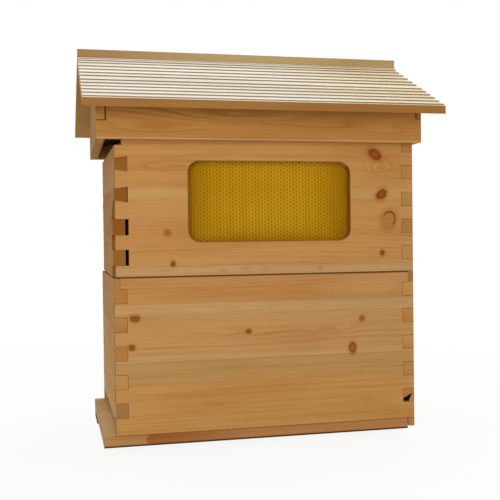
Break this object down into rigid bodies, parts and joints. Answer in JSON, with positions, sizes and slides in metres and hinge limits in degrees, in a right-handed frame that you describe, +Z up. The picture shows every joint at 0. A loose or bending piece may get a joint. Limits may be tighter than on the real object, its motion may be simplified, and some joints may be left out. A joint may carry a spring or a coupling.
{
  "type": "flow beehive",
  "caption": "Timber beehive of stacked finger-jointed boxes with a comb window, split honey combs that drain, a floor with a landing and a stepped gable roof.",
  "frame": {"origin": "on the ground under the middle of the roof", "axes": "+Z up, +X along the window side away from the bee entrance, window facing -Y"},
  "size_m": [0.5924, 0.457, 0.6812],
  "materials": {
    "box_pine": "oiled, satin",
    "floor_pine": "oiled, satin",
    "roof_pine": "bare, planed",
    "skirt_pine": "oiled, satin",
    "frame_pine": "bare",
    "foundation_wax": "waxy",
    "frame_plastic": "moulded",
    "comb_plastic": "moulded cells",
    "cap_plastic": "moulded",
    "excluder_plastic": "moulded",
    "clear_pane": "clear, polished",
    "cover_board": "bare"
  },
  "bodies": {
    "base": {"floor_board": "floor_pine", "floor_batten_front": "floor_pine", "floor_batten_back": "floor_pine"},
    "brood_box": {"brood_front_wall": "box_pine", "brood_back_wall": "box_pine", "brood_entrance_wall": "box_pine", "brood_rear_wall": "box_pine", "brood_frame_1": "frame_pine", "brood_frame_2": "frame_pine", "brood_frame_3": "frame_pine", "brood_frame_4": "frame_pine", "brood_frame_5": "frame_pine", "brood_frame_6": "frame_pine", "brood_frame_7": "frame_pine", "brood_foundation_1": "foundation_wax", "brood_foundation_2": "foundation_wax", "brood_foundation_3": "foundation_wax", "brood_foundation_4": "foundation_wax", "brood_foundation_5": "foundation_wax", "brood_foundation_6": "foundation_wax", "brood_foundation_7": "foundation_wax", "queen_excluder": "excluder_plastic"},
    "honey_super": {"super_front_wall": "box_pine", "super_back_wall": "box_pine", "super_low_end_wall": "box_pine", "super_harvest_wall": "box_pine", "window_pane": "clear_pane", "flow_frame_1": "frame_plastic", "flow_frame_2": "frame_plastic", "flow_frame_3": "frame_plastic", "flow_frame_4": "frame_plastic", "flow_frame_5": "frame_plastic", "flow_frame_6": "frame_plastic", "flow_fixed_comb_1": "comb_plastic", "flow_fixed_comb_2": "comb_plastic", "flow_fixed_comb_3": "comb_plastic", "flow_fixed_comb_4": "comb_plastic", "flow_fixed_comb_5": "comb_plastic", "flow_fixed_comb_6": "comb_plastic", "honey_outlet_caps": "cap_plastic", "key_slot_caps": "cap_plastic"},
    "harvest_cover": {"harvest_panel": "box_pine"},
    "crown_board": {"inner_cover": "cover_board"},
    "roof": {"roof_front_lower_board": "roof_pine", "roof_back_lower_board": "roof_pine", "roof_front_upper_board": "roof_pine", "roof_back_upper_board": "roof_pine", "roof_front_skirt": "skirt_pine", "roof_back_skirt": "skirt_pine", "roof_left_gable": "skirt_pine", "roof_right_gable": "skirt_pine", "roof_front_cleat": "skirt_pine", "roof_back_cleat": "skirt_pine"},
    "comb_1": {"flow_moving_comb_1": "comb_plastic"},
    "comb_2": {"flow_moving_comb_2": "comb_plastic"},
    "comb_3": {"flow_moving_comb_3": "comb_plastic"},
    "comb_4": {"flow_moving_comb_4": "comb_plastic"},
    "comb_5": {"flow_moving_comb_5": "comb_plastic"},
    "comb_6": {"flow_moving_comb_6": "comb_plastic"}
  },
  "joints": [
    {"name": "brood_lift", "type": "slide", "parent": "base", "child": "brood_box", "axis": [0, 0, 1], "range_m": [0, 0.08]},
    {"name": "super_lift", "type": "slide", "parent": "brood_box", "child": "honey_super", "axis": [0, 0, 1], "range_m": [0, 0.12]},
    {"name": "cover_lift", "type": "slide", "parent": "honey_super", "child": "crown_board", "axis": [0, 0, 1], "range_m": [0, 0.06]},
    {"name": "roof_lift", "type": "slide", "parent": "crown_board", "child": "roof", "axis": [0, 0, 1], "range_m": [0, 0.15]},
    {"name": "harvest_pull", "type": "slide", "parent": "honey_super", "child": "harvest_cover", "axis": [1, 0, 0], "range_m": [0, 0.06]},
    {"name": "comb_1_split", "type": "slide", "parent": "honey_super", "child": "comb_1", "axis": [0, 0, 1], "range_m": [0, 0.0032]},
    {"name": "comb_2_split", "type": "slide", "parent": "honey_super", "child": "comb_2", "axis": [0, 0, 1], "range_m": [0, 0.0032]},
    {"name": "comb_3_split", "type": "slide", "parent": "honey_super", "child": "comb_3", "axis": [0, 0, 1], "range_m": [0, 0.0032]},
    {"name": "comb_4_split", "type": "slide", "parent": "honey_super", "child": "comb_4", "axis": [0, 0, 1], "range_m": [0, 0.0032]},
    {"name": "comb_5_split", "type": "slide", "parent": "honey_super", "child": "comb_5", "axis": [0, 0, 1], "range_m": [0, 0.0032]},
    {"name": "comb_6_split", "type": "slide", "parent": "honey_super", "child": "comb_6", "axis": [0, 0, 1], "range_m": [0, 0.0032]}
  ]
}
